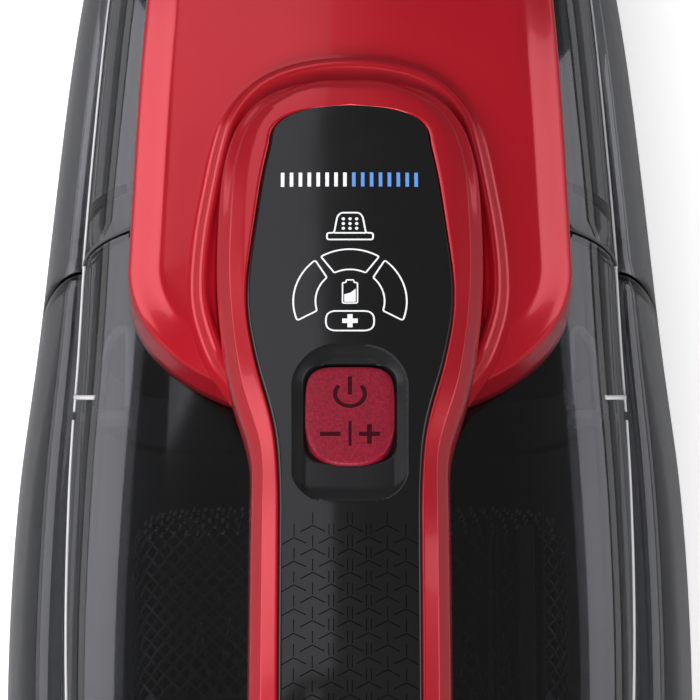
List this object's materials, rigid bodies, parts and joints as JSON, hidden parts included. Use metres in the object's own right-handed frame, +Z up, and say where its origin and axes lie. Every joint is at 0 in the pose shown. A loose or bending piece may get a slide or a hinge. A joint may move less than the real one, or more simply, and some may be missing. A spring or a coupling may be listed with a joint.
{
  "type": "handheld vacuum cleaner",
  "caption": "Cordless handheld vacuum with a glossy red spine and looped handle, a smoke-grey dust bowl and a tapered nozzle with flip-up brush and slide-out crevice tool.",
  "frame": {"origin": "centre of the plan outline, on the surface the part stands on", "axes": "+Z up, +Y from the motor end towards the nozzle, +X to the right as the user looks along the nozzle"},
  "size_m": [0.14, 0.4312, 0.137],
  "materials": {
    "red_gloss": "glossy chili red",
    "smoke": "clear smoke grey",
    "black_satin": "satin black",
    "charcoal": "satin charcoal",
    "button_red": "fine textured crimson",
    "rubber": "matte",
    "bristle": "nylon bristles",
    "steel": "bright",
    "filter_cloth": "pleated filter cloth",
    "grey_plastic": "matte grey",
    "board_green": "circuit board",
    "cell_wrap": "shrink wrap",
    "light_guide": "milky",
    "wire_red": "wire sleeve",
    "wire_black": "wire sleeve"
  },
  "bodies": {
    "motor_unit": {"motor_housing_upper": "red_gloss", "motor_housing_lower": "charcoal", "handle_shell": "red_gloss", "handle_inlay": "black_satin", "switch_dome": "rubber", "switch_board": "board_green", "light_guide": "light_guide", "display_board": "board_green", "release_spring": "steel", "rear_foot_left": "rubber", "rear_foot_right": "rubber", "charge_jack": "black_satin", "charge_pin": "steel", "bulkhead": "grey_plastic", "bulkhead_screw_1": "steel", "bulkhead_screw_2": "steel", "bulkhead_screw_3": "steel", "bulkhead_screw_4": "steel", "fan_shroud": "grey_plastic", "motor_can": "steel", "motor_end_bell": "black_satin", "motor_mount_front": "rubber", "motor_mount_rear": "rubber", "motor_cradle_front": "grey_plastic", "motor_cradle_rear": "grey_plastic", "cell_lower_left": "cell_wrap", "cell_lower_right": "cell_wrap", "cell_upper_left": "cell_wrap", "cell_upper_right": "cell_wrap", "control_board": "board_green", "battery_bus": "steel", "motor_lead_red": "wire_red", "motor_lead_black": "wire_black"},
    "dust_cup": {"dust_bowl": "smoke", "nozzle_shell": "smoke", "nozzle_lip": "black_satin", "spine_cover": "red_gloss", "nozzle_bulkhead": "charcoal", "inlet_duct": "charcoal", "flap_pin": "steel", "crevice_guide": "charcoal", "front_foot_left": "rubber", "front_foot_right": "rubber", "brush_pin": "steel"},
    "filter": {"filter_frame": "grey_plastic", "filter_seal": "rubber", "pre_filter_basket": "black_satin", "pleated_filter": "filter_cloth"},
    "rotor": {"fan_impeller": "black_satin", "motor_shaft": "steel"},
    "power_button": {"power_button": "button_red"},
    "release_button": {"release_button": "button_red"},
    "flap": {"inlet_flap": "rubber"},
    "brush": {"brush_arm": "charcoal", "brush_bristles": "bristle"},
    "crevice_tool": {"crevice_tool": "charcoal"}
  },
  "joints": [
    {"name": "cup_slide", "type": "slide", "parent": "motor_unit", "child": "dust_cup", "axis": [0, 1, 0], "range_m": [0, 0.15]},
    {"name": "filter_slide", "type": "slide", "parent": "motor_unit", "child": "filter", "axis": [0, 1, 0], "range_m": [0, 0.07]},
    {"name": "fan_spin", "type": "hinge", "parent": "motor_unit", "child": "rotor", "pos_m": [0, -0.115, 0.037], "axis": [0, 1, 0], "continuous": true},
    {"name": "power_press", "type": "slide", "parent": "motor_unit", "child": "power_button", "axis": [0, -0.2701, -0.9628], "range_m": [0, 0.001], "stiffness_N_per_m": 800},
    {"name": "release_press", "type": "slide", "parent": "motor_unit", "child": "release_button", "axis": [0, 0, 1], "range_m": [0, 0.002], "stiffness_N_per_m": 600},
    {"name": "flap_swing", "type": "hinge", "parent": "dust_cup", "child": "flap", "pos_m": [0, -0.0196, 0.054], "axis": [1, 0, 0], "range_deg": [-65, 0]},
    {"name": "brush_flip", "type": "hinge", "parent": "dust_cup", "child": "brush", "pos_m": [0, 0.2, 0.04431], "axis": [1, 0, 0], "range_deg": [-160, 0]},
    {"name": "crevice_slide", "type": "slide", "parent": "dust_cup", "child": "crevice_tool", "axis": [0, 1, 0], "range_m": [0, 0.05]}
  ],
  "couplings": [
    {"joint": "filter_slide", "follows": "cup_slide", "ratio": 0.45}
  ]
}
